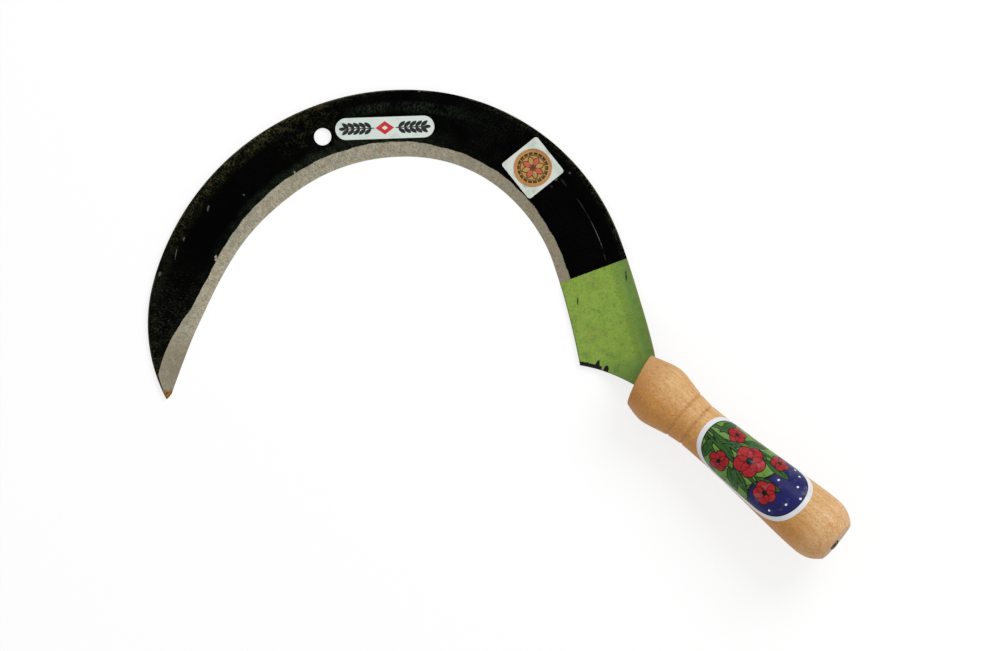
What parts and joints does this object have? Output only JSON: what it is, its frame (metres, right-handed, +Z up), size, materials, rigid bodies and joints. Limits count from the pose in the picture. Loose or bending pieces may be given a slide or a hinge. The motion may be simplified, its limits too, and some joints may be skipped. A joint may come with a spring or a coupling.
{
  "type": "sickle",
  "caption": "Grass sickle with a forged crescent blade, a cranked neck and a through tang riveted over the butt of a turned wooden handle; it lies flat on its underside.",
  "frame": {"origin": "middle of the box round the whole tool, on the surface that the tool lies on", "axes": "+X along the handle as it is seen from above, from the blade to the butt, +Y towards the back of the blade at the heel, +Z up, out of the side with the ground bevel and the labels"},
  "size_m": [0.3938, 0.2446, 0.0519],
  "materials": {
    "painted_steel": "worn black paint, with a green heel and a bare ground bevel",
    "beech": "turned and sanded, thin clear coat",
    "white_film": "printed label film",
    "gold_foil": "embossed foil",
    "printed_transfer": "glossy waterslide transfer with a white border"
  },
  "bodies": {
    "root": {"blade": "painted_steel", "handle": "beech", "long_label": "white_film", "square_label": "white_film", "seal": "gold_foil", "transfer": "printed_transfer"}
  },
  "joints": []
}
